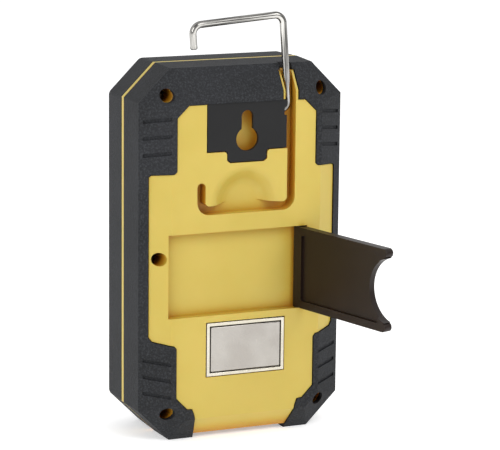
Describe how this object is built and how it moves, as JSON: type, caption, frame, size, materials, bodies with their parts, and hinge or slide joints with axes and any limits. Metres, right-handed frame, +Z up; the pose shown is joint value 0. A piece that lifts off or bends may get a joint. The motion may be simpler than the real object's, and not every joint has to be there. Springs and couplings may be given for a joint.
{
  "type": "work light",
  "caption": "Pocket work light in a two-part case with soft corner bumpers, a swing-out wire hook, a keyhole plate, a folding stand and a bar magnet on its back.",
  "frame": {"origin": "middle of the front bumper's flat foot, on the surface that the light stands on", "axes": "+Z up along the body, +Y out of the back that carries the hook, stand and magnet, -Y out of the lit front; the hook's leg and the stand's hinge are on the -X side"},
  "size_m": [0.08, 0.0905, 0.1556],
  "materials": {
    "yellow_abs": "fine moulded texture",
    "black_rubber": "speckled soft overmould",
    "black_plastic": "satin moulded",
    "stand_plastic": "satin moulded",
    "hook_steel": "bright plated wire",
    "pin_steel": "ground",
    "magnet_nickel": "nickel plated",
    "cup_steel": "nickel plated",
    "screw_steel": "dark zinc",
    "lens_clear": "clear polycarbonate",
    "reflector_white": "gloss",
    "board_white": "white solder mask",
    "phosphor": "silicone gel",
    "heat_aluminium": "extruded",
    "board_green": "solder mask",
    "component_black": "moulded",
    "capacitor_blue": "sleeved",
    "socket_steel": "plated shell",
    "cell_wrap": "shrink sleeve",
    "link_nickel": "nickel strip",
    "gasket_rubber": "silicone",
    "button_rubber": "silicone",
    "lead_red": "sleeve",
    "lead_black": "sleeve",
    "lead_white": "sleeve",
    "pipe_clear": "clear"
  },
  "bodies": {
    "case": {"rear_shell": "yellow_abs", "front_shell": "yellow_abs", "rear_bumper": "black_rubber", "front_bumper": "black_rubber", "seam_gasket": "gasket_rubber", "lens": "lens_clear", "lens_gasket": "gasket_rubber", "reflector_tray": "reflector_white", "led_board": "board_white", "led_phosphor": "phosphor", "heat_sink": "heat_aluminium", "driver_board": "board_green", "driver_chip": "component_black", "driver_inductor": "component_black", "driver_capacitor": "capacitor_blue", "charge_socket": "socket_steel", "button_board": "board_green", "button_switch": "component_black", "charge_light_pipe": "pipe_clear", "button_ring": "black_plastic", "battery_cell_left": "cell_wrap", "battery_cell_right": "cell_wrap", "battery_link": "link_nickel", "battery_cradle": "black_plastic", "battery_lead_red": "lead_red", "battery_lead_black": "lead_black", "led_lead_red": "lead_red", "led_lead_black": "lead_black", "button_lead": "lead_white", "hook_retainer_plate": "black_plastic", "magnet_cup": "cup_steel", "magnet": "magnet_nickel", "stand_hinge_pin": "pin_steel", "case_screw_1": "screw_steel", "case_screw_2": "screw_steel", "case_screw_3": "screw_steel", "case_screw_4": "screw_steel", "case_screw_5": "screw_steel", "case_screw_6": "screw_steel"},
    "hook": {"hook_wire": "hook_steel"},
    "stand": {"kickstand": "stand_plastic"},
    "button": {"power_button": "button_rubber"},
    "cover": {"port_cover": "button_rubber"}
  },
  "joints": [
    {"name": "hook_swing", "type": "hinge", "parent": "case", "child": "hook", "pos_m": [-0.0174, 0.02555, 0.12], "axis": [-0.9992, 0, 0.0393], "range_deg": [0, 180]},
    {"name": "stand_fold", "type": "hinge", "parent": "case", "child": "stand", "pos_m": [-0.0214, 0.02695, 0.062], "axis": [0, 0, -1], "range_deg": [0, 104.5]},
    {"name": "button_press", "type": "slide", "parent": "case", "child": "button", "axis": [0, 1, 0], "range_m": [0, 0.001], "stiffness_N_per_m": 700},
    {"name": "cover_swing", "type": "hinge", "parent": "case", "child": "cover", "pos_m": [-0.0397, 0.01765, 0.106], "axis": [0, 0, -1], "range_deg": [0, 100]}
  ]
}
